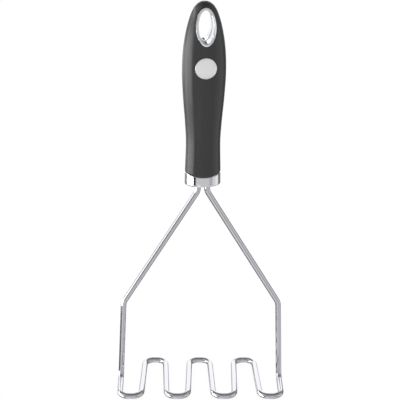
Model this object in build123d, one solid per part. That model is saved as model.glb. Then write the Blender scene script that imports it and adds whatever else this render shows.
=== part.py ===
from build123d import *
import math
import os

# Potato masher with a bent-wire head and a soft-grip handle.
# Millimetres. +Z runs up the handle, X along the head, and the front faces -Y.
# The masher stands on its head: the underside of the wire is at Z = 0.

os.makedirs("parts", exist_ok=True)

# Wire head, measured over the wire. It is widest at the feet of the arms.
wire_diameter = 4.0
head_width = 119.0
head_depth = 53.5
front_turns = 4
turn_width = 15.0
turn_radius = 6.5
foot_radius = 5.0

# Arms, from the head up to the handle
arm_setback = 2.5
foot_splay = 0.5
arm_splay = 2.8
shoulder_height = 60.1
shoulder_radius = 10.0
neck_rise = 84.6
neck_radius = 8.0
neck_length = 5.55

# Tangs, the two straight ends of the wire inside the handle
tang_spacing = 6.2
tang_length = 52.0
tang_chamfer = 0.6

# Steel plate welded across the tangs, which locks them in the handle
plate_width = 10.0
plate_height = 16.0
plate_thickness = 1.2
plate_hole = 4.0
plate_corner = 1.5
plate_drop = 4.0

# Steel ferrule, a drawn cup over the foot of the handle, so its width goes with the grip's
ferrule_width_share = 0.829
ferrule_flare = 0.3
ferrule_thickness_share = 0.75
ferrule_height = 7.05
ferrule_wall = 0.6
ferrule_edge = 0.8
ferrule_hole_clearance = 0.15

# Handle: a rigid core under a soft skin
grip_length = 115.8
grip_width = 28.95
grip_thickness = 20.6
skin = 2.2
handle_turn = 7.0
joint_scallop = 2.1
fit_gap = 0.1
overrun = 5.0

# Outline of the grip: height along it, then width and thickness, as shares of its three sizes
grip_outline_shares = [
    (-0.030, 0.838, 0.883),
    (0.080, 0.813, 0.857),
    (0.200, 0.794, 0.835),
    (0.320, 0.849, 0.870),
    (0.460, 0.941, 0.944),
    (0.610, 0.996, 1.000),
    (0.740, 0.947, 0.990),
    (0.840, 0.819, 0.913),
    (0.910, 0.669, 0.767),
    (0.955, 0.520, 0.602),
    (0.985, 0.333, 0.398),
    (0.998, 0.125, 0.150),
]

# Hanging hole and its two-part liner. The margin is the grip left between the liner and the tip.
hole_margin = 3.45
liner_width = 13.0
liner_height = 23.9
liner_lip = 1.7
liner_taper = 0.3
liner_wall = 0.9
lip_thickness = 1.0
lip_stand = 0.25
lap_length = 1.6

# Round badge, stuck into a window in the skin, at a gap below the liner
badge_gap = 7.45
badge_diameter = 14.0
badge_thickness = 1.0
badge_chamfer = 0.2
badge_stand = 0.15
pad_thickness = 0.3
pad_margin = 0.5

# Heights and places that follow from the sizes
wire_radius = wire_diameter / 2
leg_span = head_width - wire_diameter - 2 * foot_splay
leg_depth = head_depth - wire_diameter
shoulder_z = wire_radius + shoulder_height
neck_z = shoulder_z + neck_rise
ferrule_top_width = ferrule_width_share * grip_width
ferrule_bottom_width = ferrule_top_width + ferrule_flare
ferrule_z = neck_z + neck_length
joint_z = ferrule_z + ferrule_height
hole_height = grip_length - hole_margin - liner_height / 2
badge_height = hole_height - liner_height / 2 - badge_gap - badge_diameter / 2
hole_z = joint_z + hole_height
badge_z = joint_z + badge_height
tang_top = ferrule_z + tang_length
handle_place = Pos(0, arm_setback, 0) * Rot(0, 0, handle_turn)


def wire_route():
    """Corners of the wire's centre line and the bend radius at each, from tang to tang."""
    front_y = -leg_depth / 2
    back_y = leg_depth / 2
    pitch = (leg_span - turn_width) / (front_turns - 1)
    zigzag = []
    for turn in range(front_turns):
        centre = -leg_span / 2 + turn_width / 2 + turn * pitch
        zigzag.append((centre - turn_width / 2, front_y, wire_radius))
        zigzag.append((centre + turn_width / 2, front_y, wire_radius))
        if turn < front_turns - 1:
            centre += pitch / 2
            zigzag.append((centre - turn_width / 2, back_y, wire_radius))
            zigzag.append((centre + turn_width / 2, back_y, wire_radius))

    foot_x = leg_span / 2 + foot_splay
    arm = [
        (foot_x, arm_setback, wire_radius),
        (foot_x - arm_splay, arm_setback, shoulder_z),
        (tang_spacing / 2, arm_setback, neck_z),
        (tang_spacing / 2, arm_setback, tang_top),
    ]
    arm_radii = [foot_radius, shoulder_radius, neck_radius]
    left_arm = [(-x, y, z) for x, y, z in reversed(arm)]
    corners = left_arm + zigzag + arm
    radii = arm_radii[::-1] + [turn_radius] * len(zigzag) + arm_radii
    return corners, radii


def make_masher_wire():
    corners, radii = wire_route()
    route = FilletPolyline(*corners, radius=radii)
    start = Plane(origin=corners[0], z_dir=(0, 0, -1))
    wire = sweep(start * Circle(wire_radius), path=route, transition=Transition.ROUND)
    ends = wire.edges().group_by(Axis.Z)[-1]
    return chamfer(ends, tang_chamfer)


def tang_bores(clearance, bottom, top):
    """Two round bars where the tangs pass, larger than them by a clearance all round."""
    bar = Cylinder(wire_radius + clearance, top - bottom, align=(Align.CENTER, Align.CENTER, Align.MIN))
    return [Pos(side * tang_spacing / 2, arm_setback, bottom) * bar for side in (-1, 1)]


def make_tang_plate(clearance=0):
    """Plate against the back of both tangs. The core is moulded round it and through its hole."""
    outline = RectangleRounded(plate_width + 2 * clearance, plate_height + 2 * clearance, plate_corner)
    outline -= Circle(plate_hole / 2 - clearance)
    front = arm_setback + wire_radius
    centre_z = tang_top - plate_drop - plate_height / 2
    face = Plane(origin=(0, front, centre_z), x_dir=(1, 0, 0), z_dir=(0, 1, 0)) * outline
    return extrude(face, plate_thickness + clearance)


def handle_body(grow):
    """The grip's whole outer form, larger or smaller by grow at its widest and at its tip."""
    width_scale = (grip_width + 2 * grow) / grip_width
    thickness_scale = (grip_thickness + 2 * grow) / grip_thickness
    sections = []
    for height_share, width_share, thickness_share in grip_outline_shares:
        half_width = width_share * width_scale * grip_width / 2
        half_thickness = thickness_share * thickness_scale * grip_thickness / 2
        z = joint_z + height_share * (grip_length + grow)
        sections.append(Pos(0, 0, z) * Ellipse(half_width, half_thickness))
    return loft(sections)


def below_joint(shift):
    """Everything under the scalloped joint, which dips at the front and back of the handle."""
    reach = grip_width / 2 + overrun
    rise = joint_scallop * (reach / (ferrule_top_width / 2)) ** 2
    level = joint_z + shift
    floor = ferrule_z - ferrule_height
    outline = Polyline((reach, level + rise), (reach, floor), (-reach, floor), (-reach, level + rise))
    dip = ThreePointArc((-reach, level + rise), (0, level), (reach, level + rise))
    side = make_face(Plane.XZ * (outline + dip))
    return extrude(side, reach, both=True)


def ferrule_body(inset):
    """The cup's solid form, drawn in by an inset on its sides and floor."""
    top_z = joint_z + joint_scallop + ferrule_height
    low_half = ferrule_bottom_width / 2
    high_half = (ferrule_top_width - ferrule_flare) / 2
    sections = []
    for half_width, z in ((low_half, ferrule_z + inset), (high_half, top_z)):
        half_thickness = half_width * ferrule_thickness_share
        sections.append(Pos(0, 0, z) * Ellipse(half_width - inset, half_thickness - inset))
    body = loft(sections)
    return fillet(body.edges().group_by(Axis.Z)[0], max(ferrule_edge - inset, ferrule_edge / 4))


def make_ferrule():
    cup = ferrule_body(0) - ferrule_body(ferrule_wall)
    cup &= below_joint(-fit_gap)
    cup = handle_place * cup
    for bore in tang_bores(ferrule_hole_clearance, ferrule_z - overrun, tang_top):
        cup -= bore
    return cup


def oval_bar(width, height, from_y, to_y, end_growth=0):
    """A bar along Y on the hanging hole's axis. Its to_y end is larger by end_growth all round."""
    start = Plane(origin=(0, from_y, hole_z), x_dir=(1, 0, 0), z_dir=(0, -1, 0))
    end = Plane(origin=(0, to_y, hole_z), x_dir=(1, 0, 0), z_dir=(0, -1, 0))
    near = start * Ellipse(width / 2, height / 2)
    far = end * Ellipse(width / 2 + end_growth, height / 2 + end_growth)
    return loft([near, far])


def half_thickness_at(height):
    """Half the grip's thickness at a height above the joint, along its outline."""
    stations = [(z * grip_length, share * grip_thickness / 2) for z, _, share in grip_outline_shares]
    for (low_z, low), (high_z, high) in zip(stations, stations[1:]):
        if low_z <= height <= high_z:
            return low + (high - low) * (height - low_z) / (high_z - low_z)
    return stations[-1][1]


mouth_width = liner_width - 2 * liner_lip
mouth_height = liner_height - 2 * liner_lip
throat_width = mouth_width - 2 * liner_taper
throat_height = mouth_height - 2 * liner_taper
sleeve_width = mouth_width + 2 * liner_wall
sleeve_height = mouth_height + 2 * liner_wall
handle_reach = grip_thickness


def make_hole_liner(front):
    """One half of the liner: a lip that follows the grip's face, on a sleeve to the middle."""
    lip = oval_bar(liner_width, liner_height, 0, -handle_reach)
    lip &= handle_body(lip_stand) - handle_body(-lip_thickness)
    sleeve = oval_bar(sleeve_width, sleeve_height, 0, -handle_reach) & handle_body(0)
    mouth_y = -half_thickness_at(hole_height)
    opening = oval_bar(throat_width, throat_height, 0, mouth_y, liner_taper)
    opening += oval_bar(mouth_width, mouth_height, mouth_y, -handle_reach)
    half = lip + sleeve - opening
    lap_width = sleeve_width - liner_wall
    lap_height = sleeve_height - liner_wall
    if front:
        collar = oval_bar(sleeve_width, sleeve_height, lap_length, 0)
        collar -= oval_bar(lap_width, lap_height, lap_length + overrun, -overrun)
        half += collar
    else:
        half = Rot(0, 0, 180) * half
        step = oval_bar(sleeve_width + overrun, sleeve_height + overrun, lap_length + fit_gap, -overrun)
        step -= oval_bar(lap_width - fit_gap, lap_height - fit_gap, lap_length + overrun, -overrun)
        half -= step
    return handle_place * half


badge_seat = half_thickness_at(badge_height) * math.sqrt(1 - (badge_diameter / grip_width) ** 2)
badge_face = badge_seat + badge_stand
badge_back = badge_face - badge_thickness
pad_back = badge_back - pad_thickness


def disc_on_front(diameter, back, thickness):
    """A flat disc at the badge's place, from its back face out towards the front."""
    face = Plane(origin=(0, -back, badge_z), x_dir=(1, 0, 0), z_dir=(0, -1, 0))
    return extrude(face * Circle(diameter / 2), thickness)


def make_badge():
    disc = disc_on_front(badge_diameter, badge_back, badge_thickness)
    rim = disc.edges().group_by(Axis.Y)[0]
    return handle_place * chamfer(rim, badge_chamfer)


def make_badge_pad():
    pad_diameter = badge_diameter - 2 * pad_margin
    return handle_place * disc_on_front(pad_diameter, pad_back, pad_thickness)


def make_handle_core():
    core = handle_body(-skin) - below_joint(0)
    boss = disc_on_front(badge_diameter, 0, pad_back)
    core += boss
    core -= disc_on_front(badge_diameter, pad_back, handle_reach)
    foot = ferrule_body(ferrule_wall + fit_gap) & below_joint(0)
    core += foot
    through = oval_bar(sleeve_width + 2 * fit_gap, sleeve_height + 2 * fit_gap, handle_reach, -handle_reach)
    core = handle_place * (core - through)
    for bore in tang_bores(fit_gap, ferrule_z - overrun, tang_top + fit_gap):
        core -= bore
    return core - make_tang_plate(fit_gap)


def make_soft_grip():
    grip = handle_body(0) - handle_body(-skin + fit_gap) - below_joint(0)
    lip_room = oval_bar(liner_width + 2 * fit_gap, liner_height + 2 * fit_gap, handle_reach, -handle_reach)
    lip_room -= handle_body(-lip_thickness - fit_gap)
    through = oval_bar(sleeve_width + 2 * fit_gap, sleeve_height + 2 * fit_gap, handle_reach, -handle_reach)
    window = disc_on_front(badge_diameter + 2 * fit_gap, 0, handle_reach)
    return handle_place * (grip - lip_room - through - window)


nodes = {
    "masher_wire": make_masher_wire(),
    "tang_plate": make_tang_plate(),
    "handle_core": make_handle_core(),
    "soft_grip": make_soft_grip(),
    "ferrule": make_ferrule(),
    "hole_liner_front": make_hole_liner(front=True),
    "hole_liner_back": make_hole_liner(front=False),
    "badge": make_badge(),
    "badge_pad": make_badge_pad(),
}

for name, shape in nodes.items():
    export_step(shape, f"parts/{name}.step")
    solids = shape.solids()
    volume = sum(solid.volume for solid in solids)
    print(name, "solids", len(solids), "volume", round(volume, 1))
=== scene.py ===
# %% [markdown]
# # A potato masher
#
# The masher is one polished steel wire bent into a zigzag head and two arms, which go through a
# drawn steel ferrule into a handle with a soft grip. The handle has a lined hanging hole and a
# small round metal badge. The CAD model gives every size and place. This file dresses it: it
# builds the visible pieces again with rounded edges and smooth bends, and gives each its finish.

# %% Load the frame
import math

import bmesh
import bpy
from mathutils import Matrix, Vector


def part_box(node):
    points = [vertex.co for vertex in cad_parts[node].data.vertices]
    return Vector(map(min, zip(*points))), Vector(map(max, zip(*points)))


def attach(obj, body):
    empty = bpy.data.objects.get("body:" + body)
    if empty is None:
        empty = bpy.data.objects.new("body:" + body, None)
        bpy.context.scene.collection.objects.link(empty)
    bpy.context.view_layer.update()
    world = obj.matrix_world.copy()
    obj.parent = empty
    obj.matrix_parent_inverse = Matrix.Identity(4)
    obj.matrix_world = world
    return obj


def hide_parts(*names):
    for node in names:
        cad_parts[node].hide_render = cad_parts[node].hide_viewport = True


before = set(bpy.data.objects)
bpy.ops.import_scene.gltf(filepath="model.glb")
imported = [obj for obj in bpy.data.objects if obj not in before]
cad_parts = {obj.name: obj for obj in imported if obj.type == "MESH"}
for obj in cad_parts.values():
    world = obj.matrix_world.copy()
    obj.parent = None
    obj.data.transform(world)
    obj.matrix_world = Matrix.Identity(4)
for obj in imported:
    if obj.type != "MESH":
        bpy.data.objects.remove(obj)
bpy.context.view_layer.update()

# %% [markdown]
# ## Sizes
#
# Every size below is the CAD model's own, in millimetres. Keeping them in one place, with the
# names a maker would use, means that a piece can be checked against a drawing. The meshes are
# made in millimetres and turned to metres when they are finished.

# %% Sizes in millimetres
wire_radius = 2.0
leg_span = 114.0
leg_depth = 49.5
front_turns = 4
turn_width = 15.0
turn_radius = 6.5
foot_radius = 5.0

arm_setback = 2.5
foot_splay = 0.5
arm_splay = 2.8
shoulder_z = 62.1
shoulder_radius = 10.0
neck_z = 146.7
neck_radius = 8.0
tang_spacing = 6.2
tang_top = 204.25

ferrule_z = 152.25
ferrule_low_half = 12.15
ferrule_high_half = 11.85
ferrule_high_z = 168.45
ferrule_thickness_share = 0.75
ferrule_wall = 0.6
ferrule_edge = 0.8
ferrule_hole_radius = 2.15

joint_z = 159.3
joint_arc_radius = 37.05
fit_gap = 0.1
grip_length = 115.8
grip_half_width = 14.475
grip_half_thickness = 10.3
skin = 2.1
handle_turn = 7.0

hole_z = 259.7
liner_half_width = 6.5
liner_half_height = 11.95
liner_lip = 1.7
liner_taper = 0.3
liner_wall = 0.9
lip_thickness = 1.0
lap_length = 1.6
mouth_depth = 9.25

badge_z = 233.3
badge_radius = 7.0
badge_thickness = 1.0
badge_stand = 0.15

# Height along the grip, then its width and thickness there, each as a share of the whole
grip_outline_shares = [
    (-0.030, 0.838, 0.883),
    (0.080, 0.813, 0.857),
    (0.200, 0.794, 0.835),
    (0.320, 0.849, 0.870),
    (0.460, 0.941, 0.944),
    (0.610, 0.996, 1.000),
    (0.740, 0.947, 0.990),
    (0.840, 0.819, 0.913),
    (0.910, 0.669, 0.767),
    (0.955, 0.520, 0.602),
    (0.985, 0.333, 0.398),
    (0.998, 0.125, 0.150),
]

# The handle sits on the arms' plane, turned a little about its own axis.
handle_place = Matrix.Translation((0, arm_setback, 0)) @ Matrix.Rotation(math.radians(handle_turn), 4, "Z")
print("wire head", leg_span + 2 * (foot_splay + wire_radius), "mm wide and", leg_depth + 2 * wire_radius, "mm deep")

# %% [markdown]
# ## Small helpers
#
# A designer's colours are sRGB hex values, but a shader wants linear light, so one function turns
# them. Another adds a shader node with its settings and links. The last two turn a finished bmesh
# into an object at the origin and tie it to the body and the CAD node that it stands for.

# %% Helpers for colours, nodes and finished pieces
MM = 0.001
PICTURE_PIXELS = 400
merge_distance = 0.002
sharp_angle = 35


def linear(hex_colour):
    """sRGB hex, such as '3E3E3E', as linear RGBA."""
    levels = [int(hex_colour[i:i + 2], 16) / 255 for i in (0, 2, 4)]
    return [c / 12.92 if c <= 0.04045 else ((c + 0.055) / 1.055) ** 2.4 for c in levels] + [1.0]


def add_node(tree, kind, inputs=None, **settings):
    """Adds a shader node, sets its settings and fills its inputs with values or links."""
    node = tree.nodes.new("ShaderNode" + kind)
    for name, value in settings.items():
        setattr(node, name, value)
    for name, value in (inputs or {}).items():
        if isinstance(value, bpy.types.NodeSocket):
            tree.links.new(value, node.inputs[name])
        else:
            node.inputs[name].default_value = value
    return node


def new_material(name, **values):
    """A Principled material whose plain values sit on the shader's own sockets."""
    material = bpy.data.materials.new(name)
    material.use_nodes = True
    tree = material.node_tree
    shader = tree.nodes["Principled BSDF"]
    for key, value in values.items():
        shader.inputs[key.replace("_", " ").title()].default_value = value
    return material, tree, shader


def finish_mesh(bm, name, place=None, sharp_degrees=sharp_angle):
    """Turns a bmesh in millimetres into a smooth object in metres, which sits at the origin."""
    bmesh.ops.remove_doubles(bm, verts=bm.verts[:], dist=merge_distance)
    bmesh.ops.recalc_face_normals(bm, faces=bm.faces[:])
    if place:
        bmesh.ops.transform(bm, matrix=place, verts=bm.verts[:])
    bmesh.ops.scale(bm, vec=(MM, MM, MM), verts=bm.verts[:])
    mesh = bpy.data.meshes.new(name)
    bm.to_mesh(mesh)
    bm.free()
    mesh.shade_smooth()
    mesh.set_sharp_from_angle(angle=math.radians(sharp_degrees))
    piece = bpy.data.objects.new(name, mesh)
    bpy.context.scene.collection.objects.link(piece)
    return piece


def stands_for(piece, node, material):
    """Ties a piece to the body, the CAD node and the material slot that it stands for."""
    piece.data.materials.append(material)
    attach(piece, "root")
    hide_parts(node)
    low = [round(value, 4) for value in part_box(node)[0]]
    print(piece.name, "stands for", node, "with", len(piece.data.polygons), "faces, from", low)


# %% [markdown]
# ## Camera
#
# The photograph looks down at the masher by about 21.5 degrees from a little left of its middle.
# The place and the long lens were fitted to the zigzag of the wire and the outline of the handle,
# so the camera is written as a place, a direction and a roll, and no shift is needed.

# %% Camera
camera_place = Vector((-15.659, -630.124, 389.276)) * MM
camera_down = math.radians(21.506)
camera_azimuth = math.radians(1.274)
camera_roll = math.radians(0.706)
focal_pixels = 1000.0
sensor_width = 36.0

forward = Vector((math.sin(camera_azimuth) * math.cos(camera_down),
                  math.cos(camera_azimuth) * math.cos(camera_down),
                  -math.sin(camera_down)))
lens = bpy.data.cameras.new("camera")
lens.sensor_width = sensor_width
lens.lens = focal_pixels / PICTURE_PIXELS * sensor_width
camera = bpy.data.objects.new("camera", lens)
camera.matrix_world = (Matrix.Translation(camera_place)
                       @ forward.to_track_quat("-Z", "Y").to_matrix().to_4x4()
                       @ Matrix.Rotation(camera_roll, 4, "Z"))
bpy.context.scene.collection.objects.link(camera)
bpy.context.scene.camera = camera
bpy.context.scene.view_settings.view_transform = "Standard"
print("lens", round(lens.lens, 1), "mm")

# %% [markdown]
# ## Studio
#
# Polished steel shows little of itself and much of the room, so the room is designed with care.
# Cards round the object are set by direction in degrees: azimuth from the front, positive to the
# right, and elevation from the horizon. A card may lean, and a later card covers an earlier one.
# Only glossy rays see them. Diffuse light comes from a plain even sky, so that a colour renders as
# it is written, and the camera sees pure white.

# %% Cards of the studio, as mirrors see them
# name, azimuth from and to, elevation from and to, soft edge, lean a degree up, brightness
studio_cards = [
    ("ceiling", -180, 180, 55, 100, 12, 0.0, 0.25),
    ("high left card", -100, -45, 30, 62, 8, 0.0, 0.9),
    ("front wall", -42, 66, -65, 25, 8, 0.0, 0.66),
    ("front wall above", -42, 66, 25, 52, 8, 0.0, 0.55),
    ("front wall right", 22, 54, -10, 22, 6, 0.0, 0.5),
    ("front wall seam", 40, 57, -25, -15, 5, 0.0, 0.5),
    ("front strip", -22, -4, -36, -22, 4, 0.0, 1.0),
    ("front window", 4, 24, -7, 6, 4, 0.0, 0.95),
    ("right wall above", 60, 108, 4, 40, 8, 0.0, 0.55),
    ("right wall", 62, 106, -38, 4, 8, 0.0, 0.8),
    ("right wall far", 80, 106, -38, 4, 8, 0.0, 0.95),
    ("right strip", 54, 74, 0, 16, 5, 0.0, 1.1),
    ("right back", 108, 144, -32, -3, 5, 0.0, 0.2),
    ("back wall low", 146, 214, -31, 5, 5, 0.0, 1.0),
    ("back wall", 146, 214, 3, 38, 4, 0.0, 1.5),
    ("back flag", 171, 189, 2, 20, 4, 0.0, 0.1),
    ("back ceiling", 150, 210, 38, 64, 5, 0.0, 0.08),
    ("left back card", -148, -112, -16.5, 6, 5, 0.0, 2.4),
    ("left low back", -182, -146, -34, -17, 3, 0.0, 0.25),
    ("right low back", 135, 168, -34, -12, 4, 0.0, 0.3),
    ("left softbox", -116, -57, -23, 26, 1.5, -0.77, 4.8),
    ("softbox top", -116, -57, 3, 16, 4, -0.77, 1.7),
    ("left edge card", -150, -109, -6, 10, 4, 0.0, 0.5),
    ("softbox seam", -77, -72, -23, -19, 1.5, 0.0, 1.0),
    ("softbox end", -108, -102, -23, -19, 1.5, 0.0, 0.9),
    ("under the softbox", -115, -46, -31, -23, 1.5, 0.0, 0.14),
    ("floor light", -115, -46, -36, -31, 2, 0.0, 0.9),
    ("white table", -180, 180, -100, -36, 4, 0.0, 0.95),
    ("table in front", 0, 60, -100, -36, 8, 0.0, 0.75),
    ("dark table left", -165, -50, -82, -36, 6, 0.0, 0.28),
    ("dark table right", 75, 165, -80, -36, 8, 0.0, 0.28),
    ("black flag", -45.5, -29.5, -24, -14, 1, 0.0, 0.02),
    ("light strip", -46, -36, -36, -24, 2, 0.0, 1.1),
    ("grey flag", -54, -33, -14, 8, 3, -0.77, 0.22),
]
dark_room = 0.32
print("studio of", len(studio_cards), "cards")

# %% One card, as a mask over the sky
half_turn, full_turn = 180.0, 360.0


def card_mask(tree, azimuth, elevation, card):
    """1 inside a card and 0 outside it, with a soft edge."""
    _, left, right, low, high, soft, lean, _ = card
    upright = add_node(tree, "Math", {0: elevation, 1: -lean, 2: azimuth}, operation="MULTIPLY_ADD")
    to_middle = full_turn + half_turn - (left + right) / 2
    offset = add_node(tree, "Math", {0: upright.outputs[0], 1: to_middle}, operation="ADD")
    wrapped = add_node(tree, "Math", {0: offset.outputs[0], 1: full_turn}, operation="FLOORED_MODULO")
    across = add_node(tree, "Math", {0: wrapped.outputs[0], 1: half_turn}, operation="SUBTRACT")
    up = add_node(tree, "Math", {0: elevation, 1: (low + high) / 2}, operation="SUBTRACT")
    masks = []
    for distance, half in ((across, (right - left) / 2), (up, (high - low) / 2)):
        size = add_node(tree, "Math", {0: distance.outputs[0]}, operation="ABSOLUTE")
        edge = add_node(tree, "MapRange", {
            "Value": size.outputs[0], "From Min": half - soft / 2, "From Max": half + soft / 2,
            "To Min": 1.0, "To Max": 0.0}, interpolation_type="SMOOTHSTEP")
        masks.append(edge.outputs[0])
    return add_node(tree, "Math", {0: masks[0], 1: masks[1]}, operation="MULTIPLY").outputs[0]


# %% World
mirror_tint = (0.985, 0.99, 1.0, 1)
plain_white = (1, 1, 1, 1)
even_sky_level = 0.9

world = bpy.data.worlds.new("studio")
world.use_nodes = True
world.cycles.sampling_method = "NONE"
bpy.context.scene.world = world
sky = world.node_tree
sky.nodes.clear()
direction = add_node(sky, "TexCoord").outputs["Generated"]
parts = add_node(sky, "SeparateXYZ", {0: direction})
front = add_node(sky, "Math", {0: parts.outputs["Y"], 1: -1.0}, operation="MULTIPLY")
azimuth = add_node(sky, "Math", {0: parts.outputs["X"], 1: front.outputs[0]}, operation="ARCTAN2")
azimuth = add_node(sky, "Math", {0: azimuth.outputs[0]}, operation="DEGREES").outputs[0]
elevation = add_node(sky, "Math", {0: parts.outputs["Z"]}, operation="ARCSINE")
elevation = add_node(sky, "Math", {0: elevation.outputs[0]}, operation="DEGREES").outputs[0]

brightness = dark_room
for card in studio_cards:
    mask = card_mask(sky, azimuth, elevation, card)
    mixed = add_node(sky, "Mix", {0: mask, 2: brightness, 3: card[-1]}, data_type="FLOAT")
    brightness = mixed.outputs[0]

rays = add_node(sky, "LightPath")
mirrors = add_node(sky, "Background", {"Color": mirror_tint, "Strength": brightness})
even_sky = add_node(sky, "Background", {"Color": plain_white, "Strength": even_sky_level})
white = add_node(sky, "Background", {"Color": plain_white, "Strength": 1.0})
seen = add_node(sky, "MixShader", {0: rays.outputs["Is Glossy Ray"], 1: even_sky.outputs[0], 2: mirrors.outputs[0]})
clear = add_node(sky, "Math", {0: rays.outputs["Is Camera Ray"], 1: rays.outputs["Is Transmission Ray"]},
                 operation="MAXIMUM")
seen = add_node(sky, "MixShader", {0: clear.outputs[0], 1: seen.outputs[0], 2: white.outputs[0]})
add_node(sky, "OutputWorld", {"Surface": seen.outputs[0]})
print("world of", len(sky.nodes), "nodes")

# %% [markdown]
# ## Floor
#
# The masher stands on seamless white paper. The camera sees most of the paper as plain white, by
# Is Camera Ray, so that a white ground throws no extra light on the object. The rest is the
# paper's own shading, which keeps the shadow. Mirrors don't see it, as cards stand for it there.

# %% Floor
floor_reach = 3000
floor_gap = 0.1
paper_glow = 1.03
glow_share = 0.9

floor_bm = bmesh.new()
bmesh.ops.create_grid(floor_bm, x_segments=1, y_segments=1, size=floor_reach)
bmesh.ops.translate(floor_bm, vec=(0, 0, -floor_gap), verts=floor_bm.verts[:])
floor = finish_mesh(floor_bm, "floor")
floor.visible_glossy = False
paper, paper_tree, paper_shader = new_material("white seamless paper", roughness=0.9)
paper_shader.inputs["Base Color"].default_value = linear("F4F4F4")
glow = add_node(paper_tree, "Emission", {"Color": plain_white, "Strength": paper_glow})
seen_by = add_node(paper_tree, "LightPath")
share = add_node(paper_tree, "Math", {0: seen_by.outputs["Is Camera Ray"], 1: glow_share}, operation="MULTIPLY")
mix = add_node(paper_tree, "MixShader", {0: share.outputs[0], 1: paper_shader.outputs[0], 2: glow.outputs[0]})
paper_tree.links.new(mix.outputs[0], paper_tree.nodes["Material Output"].inputs["Surface"])
floor.data.materials.append(paper)
print("floor of", paper.name)

# %% [markdown]
# ## Growing a shape ring by ring
#
# Most pieces here are tubes of rings: ellipses that follow one another up the handle or round the
# edge of a hole. A ring starts as a bmesh circle, and each next ring is the last one extruded and
# put in its place. Every vertex keeps its turn round the ring, so that a function can place it.

# %% Helpers for rings
def start_ring(bm, sides, place):
    """A circle whose vertices remember their turn, each put where the place function says."""
    turn = bm.verts.layers.float.get("turn") or bm.verts.layers.float.new("turn")
    circle = bmesh.ops.create_circle(bm, segments=sides, radius=1)["verts"]
    edges = {edge for vertex in circle for edge in vertex.link_edges}
    for vertex in circle:
        vertex[turn] = math.atan2(vertex.co.x, -vertex.co.y)
        vertex.co = place(vertex[turn])
    return list(edges)


def next_ring(bm, edges, place):
    """Extrudes a ring of edges and puts the new vertices where the place function says."""
    turn = bm.verts.layers.float["turn"]
    grown = bmesh.ops.extrude_edge_only(bm, edges=edges)["geom"]
    new = {item for item in grown if isinstance(item, bmesh.types.BMVert)}
    for vertex in new:
        vertex.co = place(vertex[turn])
    return [item for item in grown if isinstance(item, bmesh.types.BMEdge) and set(item.verts) <= new]


def close_ring(bm, edges):
    """Closes a ring of edges with a fan of faces to its middle."""
    face = bmesh.ops.contextual_create(bm, geom=edges)["faces"]
    bmesh.ops.poke(bm, faces=face)


def quarter_round(radius, steps):
    """Pairs of (inset, rise) along a rounded edge, from the flat (radius, 0) to the wall (0, radius)."""
    for step in range(steps + 1):
        angle = math.pi / 2 * step / steps
        yield radius * (1 - math.sin(angle)), radius * (1 - math.cos(angle))


# %% [markdown]
# ## The wire
#
# The real wire is a single steel rod, bent cold round a pin at each corner, so every bend is an
# arc and every run between bends is straight. It is made the same way here: a circle is extruded
# along each run and spun round each bend. Each vertex also keeps its place on the wire as it was
# before bending, so that the fine lines of the drawing die can follow the wire round its bends.

# %% Route of the wire
def wire_route():
    """Corners of the wire's centre line, and the bend radius at each."""
    pitch = (leg_span - turn_width) / (front_turns - 1)
    zigzag = []
    for turn in range(front_turns):
        middle = -leg_span / 2 + turn_width / 2 + turn * pitch
        zigzag += [(middle + side * turn_width / 2, -leg_depth / 2, wire_radius) for side in (-1, 1)]
        if turn < front_turns - 1:
            middle += pitch / 2
            zigzag += [(middle + side * turn_width / 2, leg_depth / 2, wire_radius) for side in (-1, 1)]
    foot_x = leg_span / 2 + foot_splay
    arm = [
        (foot_x, arm_setback, wire_radius),
        (foot_x - arm_splay, arm_setback, shoulder_z),
        (tang_spacing / 2, arm_setback, neck_z),
        (tang_spacing / 2, arm_setback, tang_top),
    ]
    radii = [foot_radius, shoulder_radius, neck_radius]
    left = [(-x, y, z) for x, y, z in reversed(arm)]
    corners = [Vector(corner) for corner in left + zigzag + arm]
    return corners, radii[::-1] + [turn_radius] * len(zigzag) + radii


corners, radii = wire_route()
print("wire with", len(radii), "bends")

# %% Bend the wire
wire_sides = 40
# A hair under the real radius, so that the flats between the sides stay inside the CAD box
skin_radius = 1.998
bend_steps = 10
run_step = 12.0


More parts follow.
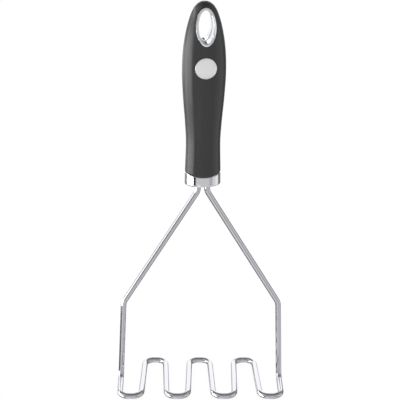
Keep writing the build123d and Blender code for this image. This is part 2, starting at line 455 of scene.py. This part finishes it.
def bend_wire(corners, radii):
    """Sweeps a circle along the route: it is extruded along each run and spun round each bend."""
    bm = bmesh.new()
    unbent = bm.verts.layers.float_vector.new("unbent")
    heading = (corners[1] - corners[0]).normalized()
    start = Matrix.Translation(corners[0]) @ heading.to_track_quat("Z", "X").to_matrix().to_4x4()
    circle = bmesh.ops.create_circle(bm, segments=wire_sides, radius=skin_radius, matrix=start)["verts"]
    for number, vertex in enumerate(circle):
        angle = 2 * math.pi * number / wire_sides
        vertex[unbent] = (wire_radius * math.cos(angle), wire_radius * math.sin(angle), 0)
    ring = bm.edges[:]
    bmesh.ops.contextual_create(bm, geom=ring)
    here = corners[0].copy()

    def move_on(geometry, length):
        """Moves new vertices on along the unbent wire, and returns the ring of edges they make."""
        new = {item for item in geometry if isinstance(item, bmesh.types.BMVert)}
        for vertex in new:
            vertex[unbent] = vertex[unbent] + Vector((0, 0, length))
        return [item for item in geometry if isinstance(item, bmesh.types.BMEdge) and set(item.verts) <= new]

    def straight(ring, length):
        count = max(1, round(length / run_step))
        for _ in range(count):
            grown = bmesh.ops.extrude_edge_only(bm, edges=ring)["geom"]
            new = [item for item in grown if isinstance(item, bmesh.types.BMVert)]
            bmesh.ops.translate(bm, vec=heading * length / count, verts=new)
            ring = move_on(grown, length / count)
        return ring

    for corner, following, radius in zip(corners[1:], corners[2:], radii):
        turned = (following - corner).normalized()
        turn = heading.angle(turned)
        tangent = radius * math.tan(turn / 2)
        run = (corner - here).length - tangent
        ring = straight(ring, run)
        here += heading * run
        axis = heading.cross(turned).normalized()
        centre = here + axis.cross(heading) * radius
        for _ in range(bend_steps):
            verts = list({vertex for edge in ring for vertex in edge.verts})
            spun = bmesh.ops.spin(bm, geom=ring + verts, cent=centre, axis=axis,
                                  angle=turn / bend_steps, steps=1)["geom_last"]
            ring = move_on(spun, radius * turn / bend_steps)
        here = corner + turned * tangent
        heading = turned
    ring = straight(ring, (corners[-1] - here).length)
    bmesh.ops.contextual_create(bm, geom=ring)
    return bm


wire_bm = bend_wire(corners, radii)
wire = finish_mesh(wire_bm, "bent_wire")
print("wire of", len(corners), "corners,", len(wire.data.vertices), "vertices")

# %% [markdown]
# ## The grip's outline
#
# The grip swells under the palm and narrows above the ferrule. Its width and thickness are known
# at twelve heights, and a smooth curve runs through them. The curve is drawn through the squares
# of the sizes, because a rounded tip is then nearly a straight line, and closes without a point.

# %% Surface of the grip
def outline_squares(height_share):
    """Squares of the width and thickness shares at a height, along a smooth curve."""
    heights = [row[0] for row in grip_outline_shares]
    count = len(heights)
    low = max(i for i in range(count - 1) if heights[i] <= max(height_share, heights[0]))
    span = heights[low + 1] - heights[low]
    t = (height_share - heights[low]) / span
    results = []
    for column in (1, 2):
        value = [row[column] ** 2 for row in grip_outline_shares]

        def slope(i):
            if i == 0:
                return (value[1] - value[0]) / (heights[1] - heights[0])
            if i == count - 1:
                return (value[-1] - value[-2]) / (heights[-1] - heights[-2])
            before = (value[i] - value[i - 1]) / (heights[i] - heights[i - 1])
            after = (value[i + 1] - value[i]) / (heights[i + 1] - heights[i])
            reach_before, reach_after = heights[i] - heights[i - 1], heights[i + 1] - heights[i]
            return (before * reach_after + after * reach_before) / (reach_before + reach_after)

        results.append((2 * t ** 3 - 3 * t ** 2 + 1) * value[low] + (t ** 3 - 2 * t ** 2 + t) * span * slope(low)
                       + (3 * t ** 2 - 2 * t ** 3) * value[low + 1] + (t ** 3 - t ** 2) * span * slope(low + 1))
    return [max(0.0, result) for result in results]


# %% Places on the grip
def half_sizes(height, grow=0.0):
    """Half width and half thickness of the grip at a height above the joint, grown all round."""
    width, thickness = outline_squares(height / (grip_length + grow))
    return math.sqrt(width) * (grip_half_width + grow), math.sqrt(thickness) * (grip_half_thickness + grow)


def joint_dip(x):
    """How far the scalloped joint has risen at a distance x from its middle."""
    return joint_arc_radius - math.sqrt(joint_arc_radius ** 2 - x ** 2)


def on_grip(x, z, back=False, grow=0.0):
    """The y of the grip's face at a place across and up it."""
    half_width, half_thickness = half_sizes(z - joint_z, grow)
    inside = max(0.0, 1 - (x / half_width) ** 2) if half_width > 0 else 0.0
    return (1 if back else -1) * half_thickness * math.sqrt(inside)


print("grip half sizes at the badge:", [round(value, 2) for value in half_sizes(badge_z - joint_z)])

# %% [markdown]
# ## The soft grip
#
# The grip is a soft skin moulded over a hard core, open at the foot, at the hanging hole and at
# the badge. It could be cut with booleans, but those leave slivers that spoil the soft shine.
# Instead rings grow up its outside and its inside, a patch of faces is taken out at each opening,
# and the edge of the patch is drawn in to the opening's own oval, with a small round on its rim.

# %% Rings of the grip
grip_sides = 96
foot_round = 0.6
foot_rises = [1.2, 2.4, 4.0, 6.2, 9.0, 12.5, 16.5, 20.5, 24.5, 28.5, 32.5, 36.5, 40.5, 44.5, 48.0,
              51.5, 54.5, 57.5, 60.0, 62.2]
window_low, window_high, window_rows = badge_z - 10.0, badge_z + 10.0, 14
hole_low, hole_high, hole_rows = hole_z - 14.2, hole_z + 13.6, 20
tip_heights = [114.5, 114.95, 115.25, 115.45]
# Above this height the rings are level, and below it they follow more and more of the joint's dip
level_height = 60.0


def grip_rows():
    """Heights of the rings above the joint, from the foot to the tip."""
    rows = list(foot_rises)
    for low, high, count in ((window_low, window_high, window_rows), (hole_low, hole_high, hole_rows)):
        rows += [low + (high - low) * step / count - joint_z for step in range(count + 1)]
    return rows + tip_heights


def ring_place(height, grow=0.0, inset=0.0):
    """Places a ring on the grip. Low rings follow the dip of the joint, and higher ones are level."""
    fade = max(0.0, 1 - height / level_height) ** 2

    def place(turn):
        level = height * (grip_length + grow) / grip_length
        half_width, half_thickness = half_sizes(level, grow)
        x = (half_width - inset) * math.sin(turn)
        y = -(half_thickness - inset) * math.cos(turn)
        return Vector((x, y, joint_z + level + joint_dip(half_width * math.sin(turn)) * fade))
    return place


grip_bm = bmesh.new()
foot = start_ring(grip_bm, grip_sides, ring_place(0, -skin))
ring = foot
for inset, rise in quarter_round(foot_round, steps=4):
    ring = next_ring(grip_bm, ring, ring_place(rise, inset=inset))
for height in grip_rows():
    ring = next_ring(grip_bm, ring, ring_place(height))
close_ring(grip_bm, ring)
ring = foot
for height in grip_rows():
    ring = next_ring(grip_bm, ring, ring_place(height, -skin))
close_ring(grip_bm, ring)
grip_bm.verts.ensure_lookup_table()
print("grip rings:", len(grip_rows()), "heights,", len(grip_bm.faces), "faces")

# %% Helpers for the grip's openings
# How far off a shell a face may lie and still belong to it, as a share of the shell's size
shell_tolerance = 0.05


def take_out_patch(bm, low, high, columns, back, grow):
    """Takes out a patch of faces of one of the grip's two shells, and returns its edges."""
    scale = (grip_length + grow) / grip_length
    low_z, high_z = (joint_z + (z - joint_z) * scale for z in (low, high))
    reach = math.pi * 2 / grip_sides * (columns + 0.5)
    patch = []
    for face in bm.faces:
        middle = face.calc_center_median()
        if not low_z < middle.z < high_z or (middle.y > 0) != back:
            continue
        half_width, half_thickness = half_sizes(middle.z - joint_z, grow)
        turn = math.atan2(middle.x / half_width, abs(middle.y) / half_thickness)
        off_shell = math.hypot(middle.x / half_width, middle.y / half_thickness) - 1
        if abs(turn) < reach - math.pi / grip_sides and abs(off_shell) < shell_tolerance:
            patch.append(face)
    inside = set(patch)
    edges = [edge for edge in {e for face in patch for e in face.edges}
             if len([face for face in edge.link_faces if face in inside]) == 1]
    bmesh.ops.delete(bm, geom=patch, context="FACES")
    return edges


def draw_in(bm, edges, middle_z, half_width, half_height, back, grow, rims, cuts=3):
    """Draws a patch's edge in to an oval, and on down its rounded rim. Returns the last ring."""
    turn = bm.verts.layers.float["turn"]
    for vertex in {vertex for edge in edges for vertex in edge.verts}:
        vertex[turn] = math.atan2((vertex.co.z - middle_z) / half_height, vertex.co.x / half_width)

    def oval(growth, depth):
        def place(angle):
            x = (half_width + growth) * math.cos(angle)
            z = middle_z + (half_height + growth) * math.sin(angle)
            y = on_grip(x, z, back, grow)
            return Vector((x, y - depth if back else y + depth, z))
        return place

    before = {vertex for edge in edges for vertex in edge.verts}
    ring = next_ring(bm, edges, oval(*rims[0]))
    after = {vertex for edge in ring for vertex in edge.verts}
    spokes = [edge for vertex in after for edge in vertex.link_edges if edge.other_vert(vertex) in before]
    cut = bmesh.ops.subdivide_edges(bm, edges=spokes, cuts=cuts)["geom_inner"]
    for item in cut:
        if isinstance(item, bmesh.types.BMVert):
            item.co.y = on_grip(item.co.x, item.co.z, back, grow)
    for rim in rims[1:]:
        ring = next_ring(bm, ring, oval(*rim))
    return ring


# %% Openings of the grip
edge_round = 0.35
window_depth = 0.9
hole_columns, window_columns = 12, 9

rounded = list(quarter_round(edge_round, steps=4))
room_half_width, room_half_height = liner_half_width + fit_gap, liner_half_height + fit_gap
sleeve_half_width = liner_half_width - liner_lip + liner_wall + fit_gap
sleeve_half_height = liner_half_height - liner_lip + liner_wall + fit_gap
for back in (False, True):
    outer = take_out_patch(grip_bm, hole_low, hole_high, hole_columns, back, grow=0)
    outer = draw_in(grip_bm, outer, hole_z, room_half_width, room_half_height, back, 0,
                    rounded + [(0, lip_thickness + fit_gap)])
    inner = take_out_patch(grip_bm, hole_low, hole_high, hole_columns, back, grow=-skin)
    inner = draw_in(grip_bm, inner, hole_z, sleeve_half_width, sleeve_half_height, back, -skin, [(0, 0)], cuts=1)
    bmesh.ops.bridge_loops(grip_bm, edges=outer + inner)
window_radius = badge_radius + fit_gap
outer = take_out_patch(grip_bm, window_low, window_high, window_columns, back=False, grow=0)
outer = draw_in(grip_bm, outer, badge_z, window_radius, window_radius, False, 0, rounded + [(0, window_depth)])
inner = take_out_patch(grip_bm, window_low, window_high, window_columns, back=False, grow=-skin)
inner = draw_in(grip_bm, inner, badge_z, window_radius, window_radius, False, -skin, [(0, 0)], cuts=1)
bmesh.ops.bridge_loops(grip_bm, edges=outer + inner)
open_edges = [edge for edge in grip_bm.edges if len(edge.link_faces) != 2]
print("open edges of the grip:", len(open_edges))
grip = finish_mesh(grip_bm, "soft_touch_grip", handle_place, sharp_degrees=50)

# %% [markdown]
# ## The ferrule
#
# The ferrule is a small cup, drawn from thin sheet, with a rounded lower edge where the sheet
# bent over the punch. Its top follows the dip of the joint, and stops a hair below the grip, so
# that the black core shows as a fine line. The floor and the wall are one run of rings, outside and
# then inside, and a boolean punches the two holes for the wire.

# %% Ferrule
ferrule_sides = 128
lip_round = 0.28
groove = 0.25
ferrule_dip_share = 0.9
wall_shares = (0.35, 0.7)
inner_edge = ferrule_edge - ferrule_wall


def ferrule_place(inset, z=None, below_joint=0.0, share=None):
    """A ring of the cup, at a height or as a share of the way up to the joint."""
    def place(turn):
        x = math.sin(turn)
        top = joint_z - groove - below_joint + ferrule_dip_share * joint_dip(ferrule_high_half * x)
        level = top if share is None and z is None else z
        if share is not None:
            level = z + (top - z) * share
        way = (level - ferrule_z) / (ferrule_high_z - ferrule_z)
        half = ferrule_low_half + (ferrule_high_half - ferrule_low_half) * way
        return Vector(((half - inset) * x, -(half * ferrule_thickness_share - inset) * math.cos(turn), level))
    return place


cup_bm = bmesh.new()
first = start_ring(cup_bm, ferrule_sides, ferrule_place(ferrule_edge, z=ferrule_z))
ring = first
for inset, rise in list(quarter_round(ferrule_edge, steps=8))[1:]:
    ring = next_ring(cup_bm, ring, ferrule_place(inset, z=ferrule_z + rise))
for share in wall_shares:
    ring = next_ring(cup_bm, ring, ferrule_place(0, z=ferrule_z + ferrule_edge, share=share))
for inset, rise in quarter_round(lip_round, steps=4):
    ring = next_ring(cup_bm, ring, ferrule_place(lip_round - inset, below_joint=lip_round - rise))
ring = next_ring(cup_bm, ring, ferrule_place(ferrule_wall, below_joint=0))
for share in reversed(wall_shares):
    ring = next_ring(cup_bm, ring, ferrule_place(ferrule_wall, z=ferrule_z + ferrule_edge, share=share))
for inset, rise in reversed(list(quarter_round(inner_edge, steps=5))):
    ring = next_ring(cup_bm, ring, ferrule_place(ferrule_wall + inset, z=ferrule_z + ferrule_wall + rise))
bmesh.ops.contextual_create(cup_bm, geom=first)
bmesh.ops.contextual_create(cup_bm, geom=ring)
cup = finish_mesh(cup_bm, "drawn_ferrule", handle_place)
print("cup with", len(cup.data.polygons), "faces")

# %% Holes of the ferrule
punch_sides = 48
punch_reach = 2.0


def punch(piece, places, radius, low, high):
    """Cuts round upright holes through a piece with a boolean, and keeps the result as its mesh."""
    cutter_bm = bmesh.new()
    for x, y in places:
        middle = Matrix.Translation((x, y, (low + high) / 2))
        bmesh.ops.create_cone(cutter_bm, cap_ends=True, segments=punch_sides, radius1=radius, radius2=radius,
                              depth=high - low, matrix=middle)
    cutter = finish_mesh(cutter_bm, piece.name + "_punch")
    boolean = piece.modifiers.new("holes", "BOOLEAN")
    boolean.operation = "DIFFERENCE"
    boolean.solver = "EXACT"
    boolean.object = cutter
    depsgraph = bpy.context.evaluated_depsgraph_get()
    punched = bpy.data.meshes.new_from_object(piece.evaluated_get(depsgraph))
    piece.modifiers.clear()
    piece.data = punched
    punched.set_sharp_from_angle(angle=math.radians(sharp_angle))
    bpy.data.objects.remove(cutter)


wire_places = [(side * tang_spacing / 2, arm_setback) for side in (-1, 1)]
punch(cup, wire_places, ferrule_hole_radius, ferrule_z - punch_reach, ferrule_z + punch_reach)
print("ferrule", len(cup.data.polygons), "faces")

# %% [markdown]
# ## The liner of the hanging hole
#
# The liner is two plated mouldings pushed together from the front and the back. Each has a lip that
# lies on the grip, with a crisp outer corner and a wide round towards the hole. From it a sleeve
# runs to the middle, where a tongue of the back half goes into a collar of the front one. One
# closed run of rings, lip over and sleeve back, makes each half. The back half stands a hair
# further in at the seam, as the two mouldings never quite match.

# %% Liner halves
liner_sides = 96
mouth_half_width = liner_half_width - liner_lip
mouth_half_height = liner_half_height - liner_lip
seam_step = 0.25
sleeve_wall_y = 3.0
wall_shares_of_liner = (0.1, 0.25, 0.45, 0.7, 1.0)
# Distance out from the mouth, and height over the grip's face, round the lip
lip_profile = [(1.62, -1.0), (1.70, -0.85), (1.70, 0.19), (1.69, 0.23), (1.66, 0.25), (1.35, 0.25), (1.12, 0.25),
               (0.92, 0.24), (0.73, 0.21), (0.54, 0.14), (0.37, 0.03), (0.22, -0.12), (0.10, -0.30),
               (0.02, -0.50), (0.0, -0.75)]


def liner_half(name, front):
    """One half of the liner, grown from its lip in to the seam and back along its sleeve."""
    bm = bmesh.new()
    lap = liner_wall / 2
    # The tail is the run past the seam: distance out from the mouth, and y
    if front:
        side, taper, end_y = -1, liner_taper - seam_step, -0.1
        tail = [(-0.02, -0.03), (0.08, 0.0), (lap, 0.0), (lap, lap_length), (liner_wall, lap_length),
                (liner_wall, -sleeve_wall_y)]
    else:
        side, taper, end_y = 1, liner_taper, 0.2
        tail = [(-0.26, 0.11), (-0.16, 0.06), (lap - fit_gap / 2, 0.06), (lap - fit_gap / 2, lap_length + fit_gap),
                (liner_wall, lap_length + fit_gap), (liner_wall, sleeve_wall_y)]

    def at_lip(out, over):
        def place(turn):
            x = (mouth_half_width + out) * math.sin(turn)
            z = hole_z - (mouth_half_height + out) * math.cos(turn)
            return Vector((x, on_grip(x, z, not front) + side * over, z))
        return place

    def at_depth(out, y):
        def place(turn):
            x = (mouth_half_width + out) * math.sin(turn)
            z = hole_z - (mouth_half_height + out) * math.cos(turn)
            return Vector((x, y, z))
        return place

    def along_wall(share):
        """A ring of the tapered inner wall, part of the way from the lip to its end."""
        def place(turn):
            start = at_lip(0.0, lip_profile[-1][1])(turn)
            y = start.y + (end_y - start.y) * share
            return at_depth(-taper * (1 - min(1.0, abs(y) / mouth_depth)), y)(turn)
        return place

    first = start_ring(bm, liner_sides, at_lip(*lip_profile[0]))
    ring = first
    for out, over in lip_profile[1:]:
        ring = next_ring(bm, ring, at_lip(out, over))
    for share in wall_shares_of_liner:
        ring = next_ring(bm, ring, along_wall(share))
    for out, y in tail:
        ring = next_ring(bm, ring, at_depth(out, y))
    ring = next_ring(bm, ring, at_lip(liner_wall, lip_profile[0][1]))
    bmesh.ops.bridge_loops(bm, edges=ring + first)
    return finish_mesh(bm, name, handle_place, sharp_degrees=50)


liner_front = liner_half("plated_liner_front", True)
liner_back = liner_half("plated_liner_back", False)
print("liner halves with", len(liner_front.data.polygons), "and", len(liner_back.data.polygons), "faces")

# %% [markdown]
# ## The badge
#
# The badge is a small flat disc, left bare, with a bevelled edge. A circle is extruded to its
# thickness, and its front edge is bevelled, as a press leaves it.

# %% Badge
badge_sides = 96
badge_seat = -on_grip(0, badge_z) * math.sqrt(1 - (badge_radius / half_sizes(badge_z - joint_z)[0]) ** 2)
badge_bevel = 0.32
badge_bm = bmesh.new()
badge_back = Vector((0, -(badge_seat + badge_stand - badge_thickness), badge_z))
upright = Matrix.Translation(badge_back) @ Matrix.Rotation(math.pi / 2, 4, "X")
bmesh.ops.create_circle(badge_bm, cap_ends=True, segments=badge_sides, radius=badge_radius, matrix=upright)
face = badge_bm.faces[:]
grown = bmesh.ops.extrude_face_region(badge_bm, geom=face)["geom"]
front_verts = [item for item in grown if isinstance(item, bmesh.types.BMVert)]
bmesh.ops.translate(badge_bm, vec=(0, -badge_thickness, 0), verts=front_verts)
rim = [edge for edge in badge_bm.edges if set(edge.verts) <= set(front_verts)]
bmesh.ops.bevel(badge_bm, geom=rim, offset=badge_bevel, offset_type="OFFSET", segments=3, profile=0.5,
                affect="EDGES", material=-1)
badge = finish_mesh(badge_bm, "bare_badge", handle_place, sharp_degrees=25)
print("badge face at y", round(-(badge_seat + badge_stand), 2))

# %% [markdown]
# ## Finish of the wire
#
# The rod comes from a drawing die and is then polished. What is left of the die's lines follows
# the rod, and blurs a highlight a little across it. A noise that is stretched along the unbent
# wire makes them, because object coordinates would cut straight through the bends.

# %% Polished stainless steel rod
steel_wire, tree, shader = new_material("polished stainless steel rod", metallic=1.0)
shader.inputs["Base Color"].default_value = linear("CFCFD3")
unbent = add_node(tree, "Attribute", attribute_name="unbent")
along = add_node(tree, "VectorMath", {0: unbent.outputs["Vector"], 1: (1.0, 1.0, 0.01)}, operation="MULTIPLY")
# The real lines are about 0.02 mm apart. They are drawn at 0.3 mm so that a picture shows them.
die_lines = add_node(tree, "TexNoise", {"Vector": along.outputs[0], "Scale": 3.0, "Detail": 2.0})
waves = add_node(tree, "TexNoise", {"Vector": unbent.outputs["Vector"], "Scale": 0.12, "Detail": 2.0})
sheen = add_node(tree, "MapRange", {"Value": die_lines.outputs[0], "To Min": 0.07, "To Max": 0.15})
tree.links.new(sheen.outputs[0], shader.inputs["Roughness"])
relief = add_node(tree, "Bump", {"Height": die_lines.outputs[0], "Strength": 0.3, "Distance": 0.000004})
relief = add_node(tree, "Bump", {"Height": waves.outputs[0], "Strength": 0.3, "Distance": 0.00003,
                                 "Normal": relief.outputs[0]})
tree.links.new(relief.outputs[0], shader.inputs["Normal"])
print("finish:", steel_wire.name)

# %% [markdown]
# ## Finish of the ferrule
#
# Drawing the cup leaves faint upright lines where the sheet slid over the punch, and polishing on
# a wheel leaves finer ones round it. Together they break the long reflections into soft patches.
# Two stretched noises make them, one for each direction, and only the second sets the sheen.

# %% Polished drawn steel
steel_ferrule, tree, shader = new_material("polished drawn steel", metallic=1.0)
shader.inputs["Base Color"].default_value = linear("E6E6E9")
place = add_node(tree, "TexCoord").outputs["Object"]
upright_scale = add_node(tree, "VectorMath", {0: place, 1: (1000.0, 1000.0, 60.0)}, operation="MULTIPLY")
draw_lines = add_node(tree, "TexNoise", {"Vector": upright_scale.outputs[0], "Scale": 0.9, "Detail": 3.0})
round_scale = add_node(tree, "VectorMath", {0: place, 1: (60.0, 60.0, 1000.0)}, operation="MULTIPLY")
wheel_lines = add_node(tree, "TexNoise", {"Vector": round_scale.outputs[0], "Scale": 1.1, "Detail": 4.0})
sheen = add_node(tree, "MapRange", {"Value": wheel_lines.outputs[0], "To Min": 0.05, "To Max": 0.16})
tree.links.new(sheen.outputs[0], shader.inputs["Roughness"])
relief = add_node(tree, "Bump", {"Height": draw_lines.outputs[0], "Strength": 0.5, "Distance": 0.00003})
relief = add_node(tree, "Bump", {"Height": wheel_lines.outputs[0], "Strength": 0.5, "Distance": 0.00002,
                                 "Normal": relief.outputs[0]})
tree.links.new(relief.outputs[0], shader.inputs["Normal"])
print("finish:", steel_ferrule.name)

# %% [markdown]
# ## Finish of the liner
#
# Plating copies the plastic under it, which shrinks a little as it cools, so the mirror is clear
# but not quite true. Slow waves bend the reflections, and the roughness is that of bright chrome.

# %% Bright chrome plating
plating, tree, shader = new_material("bright chrome plating", metallic=1.0)
shader.inputs["Base Color"].default_value = linear("EBECEF")
place = add_node(tree, "TexCoord").outputs["Object"]
sink_marks = add_node(tree, "TexNoise", {"Vector": place, "Scale": 200.0, "Detail": 1.0})
polish = add_node(tree, "TexNoise", {"Vector": place, "Scale": 1400.0, "Detail": 3.0})
sheen = add_node(tree, "MapRange", {"Value": polish.outputs[0], "To Min": 0.03, "To Max": 0.09})
tree.links.new(sheen.outputs[0], shader.inputs["Roughness"])
relief = add_node(tree, "Bump", {"Height": sink_marks.outputs[0], "Strength": 0.3, "Distance": 0.00016})
tree.links.new(relief.outputs[0], shader.inputs["Normal"])
print("finish:", plating.name)

# %% [markdown]
# ## Finish of the badge
#
# The disc is spun against fine abrasive and anodised. The rings scatter light across themselves,
# and the clear oxide on them adds a little even white, so the badge looks soft and pale. A noise
# of the distance from the badge's middle draws the rings, so they need no texture map.

# %% Spun satin aluminium
satin, tree, shader = new_material("spun satin aluminium", metallic=0.72)
shader.inputs["Base Color"].default_value = linear("F6F6F6")
place = add_node(tree, "TexCoord").outputs["Object"]
centre = handle_place @ Vector((0, 0, badge_z))
from_centre = add_node(tree, "Mapping", {"Vector": place, "Location": -centre * MM}, vector_type="POINT")
radius = add_node(tree, "VectorMath", {0: from_centre.outputs[0]}, operation="LENGTH")
# The real rings are about 0.05 mm apart. They are drawn at 0.35 mm so that a picture shows them.
rings_per_metre = 2857.0
rings = add_node(tree, "Math", {0: radius.outputs["Value"], 1: rings_per_metre}, operation="MULTIPLY")
ring_noise = add_node(tree, "TexNoise", {"W": rings.outputs[0], "Scale": 1.0, "Detail": 3.0}, noise_dimensions="1D")
sheen = add_node(tree, "MapRange", {"Value": ring_noise.outputs[0], "To Min": 0.34, "To Max": 0.5})
tree.links.new(sheen.outputs[0], shader.inputs["Roughness"])
relief = add_node(tree, "Bump", {"Height": ring_noise.outputs[0], "Strength": 0.4, "Distance": 0.00002})
tree.links.new(relief.outputs[0], shader.inputs["Normal"])
print("finish:", satin.name)

# %% [markdown]
# ## Finish of the grip
#
# Soft-touch rubber takes a fine grain from an etched mould. The grain spreads light widely, and the
# tight skin of the rubber adds a closer shine on top, which shows the softbox as a pale band. So
# the base is rough and a thinner coat is smoother, and slow patches show where hands have held it.

# %% Soft touch rubber
# The real grain is about 0.08 mm. It is drawn at 0.2 mm so that it does not turn to noise.
rubber, tree, shader = new_material("soft touch rubber", coat_weight=0.5, coat_roughness=0.2)
shader.inputs["Base Color"].default_value = linear("1E1E1E")
place = add_node(tree, "TexCoord").outputs["Object"]
grain = add_node(tree, "TexVoronoi", {"Vector": place, "Scale": 5000.0})
handling = add_node(tree, "TexNoise", {"Vector": place, "Scale": 90.0, "Detail": 4.0})
sheen = add_node(tree, "MapRange", {"Value": handling.outputs[0], "To Min": 0.48, "To Max": 0.56})
tree.links.new(sheen.outputs[0], shader.inputs["Roughness"])
relief = add_node(tree, "Bump", {"Height": grain.outputs["Distance"], "Strength": 0.25, "Distance": 0.00002})
tree.links.new(relief.outputs[0], shader.inputs["Normal"])
print("finish:", rubber.name)

# %% [markdown]
# ## Finishes inside the handle
#
# The core, the plate on the tangs and the film behind the badge hardly show, but a reader may take
# the masher apart. Their shapes are the CAD model's own, so they only need plain, true finishes.

# %% Moulded polypropylene, mill finish steel and adhesive film
# Black polypropylene, as moulded: even, faintly mottled, with a soft waxy shine.
core_plastic, tree, shader = new_material("moulded polypropylene")
place = add_node(tree, "TexCoord").outputs["Object"]
mottle = add_node(tree, "TexNoise", {"Vector": place, "Scale": 300.0, "Detail": 3.0})
shade = add_node(tree, "Mix", {0: mottle.outputs[0], 6: linear("121212"), 7: linear("1C1C1C")}, data_type="RGBA")
tree.links.new(shade.outputs[2], shader.inputs["Base Color"])
sheen = add_node(tree, "MapRange", {"Value": mottle.outputs[0], "To Min": 0.4, "To Max": 0.58})
tree.links.new(sheen.outputs[0], shader.inputs["Roughness"])

# Cold-rolled strip, straight from the mill: grey, with fine lines along the direction of rolling.
mill_steel, tree, shader = new_material("mill finish steel", metallic=1.0)
shader.inputs["Base Color"].default_value = linear("B4B4B6")
place = add_node(tree, "TexCoord").outputs["Object"]
rolled = add_node(tree, "VectorMath", {0: place, 1: (4000.0, 4000.0, 150.0)}, operation="MULTIPLY")
roll_lines = add_node(tree, "TexNoise", {"Vector": rolled.outputs[0], "Scale": 1.0, "Detail": 4.0})
sheen = add_node(tree, "MapRange", {"Value": roll_lines.outputs[0], "To Min": 0.3, "To Max": 0.5})
tree.links.new(sheen.outputs[0], shader.inputs["Roughness"])

# Clear acrylic adhesive on a paper-white film, a little cloudy where air is left under it.
adhesive, tree, shader = new_material("adhesive film", roughness=0.6)
place = add_node(tree, "TexCoord").outputs["Object"]
cloud = add_node(tree, "TexNoise", {"Vector": place, "Scale": 700.0, "Detail": 2.0})
shade = add_node(tree, "Mix", {0: cloud.outputs[0], 6: linear("D6D6D0"), 7: linear("DFDFDA")}, data_type="RGBA")
tree.links.new(shade.outputs[2], shader.inputs["Base Color"])
print("finishes:", ", ".join(finish.name for finish in (core_plastic, mill_steel, adhesive)))

# %% [markdown]
# ## Dress the pieces
#
# Each new piece rides on the masher's one body and stands for its CAD node, which stays hidden
# for collision. The three pieces inside the handle keep the CAD model's meshes, and only get
# their materials.

# %% Dress the pieces
stands_for(wire, "masher_wire", steel_wire)
stands_for(grip, "soft_grip", rubber)
stands_for(cup, "ferrule", steel_ferrule)
stands_for(liner_front, "hole_liner_front", plating)
stands_for(liner_back, "hole_liner_back", plating)
stands_for(badge, "badge", satin)
for node, material in (("handle_core", core_plastic), ("tang_plate", mill_steel), ("badge_pad", adhesive)):
    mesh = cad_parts[node].data
    mesh.materials.clear()
    mesh.materials.append(material)
    print(node, "keeps its mesh, in", material.name)
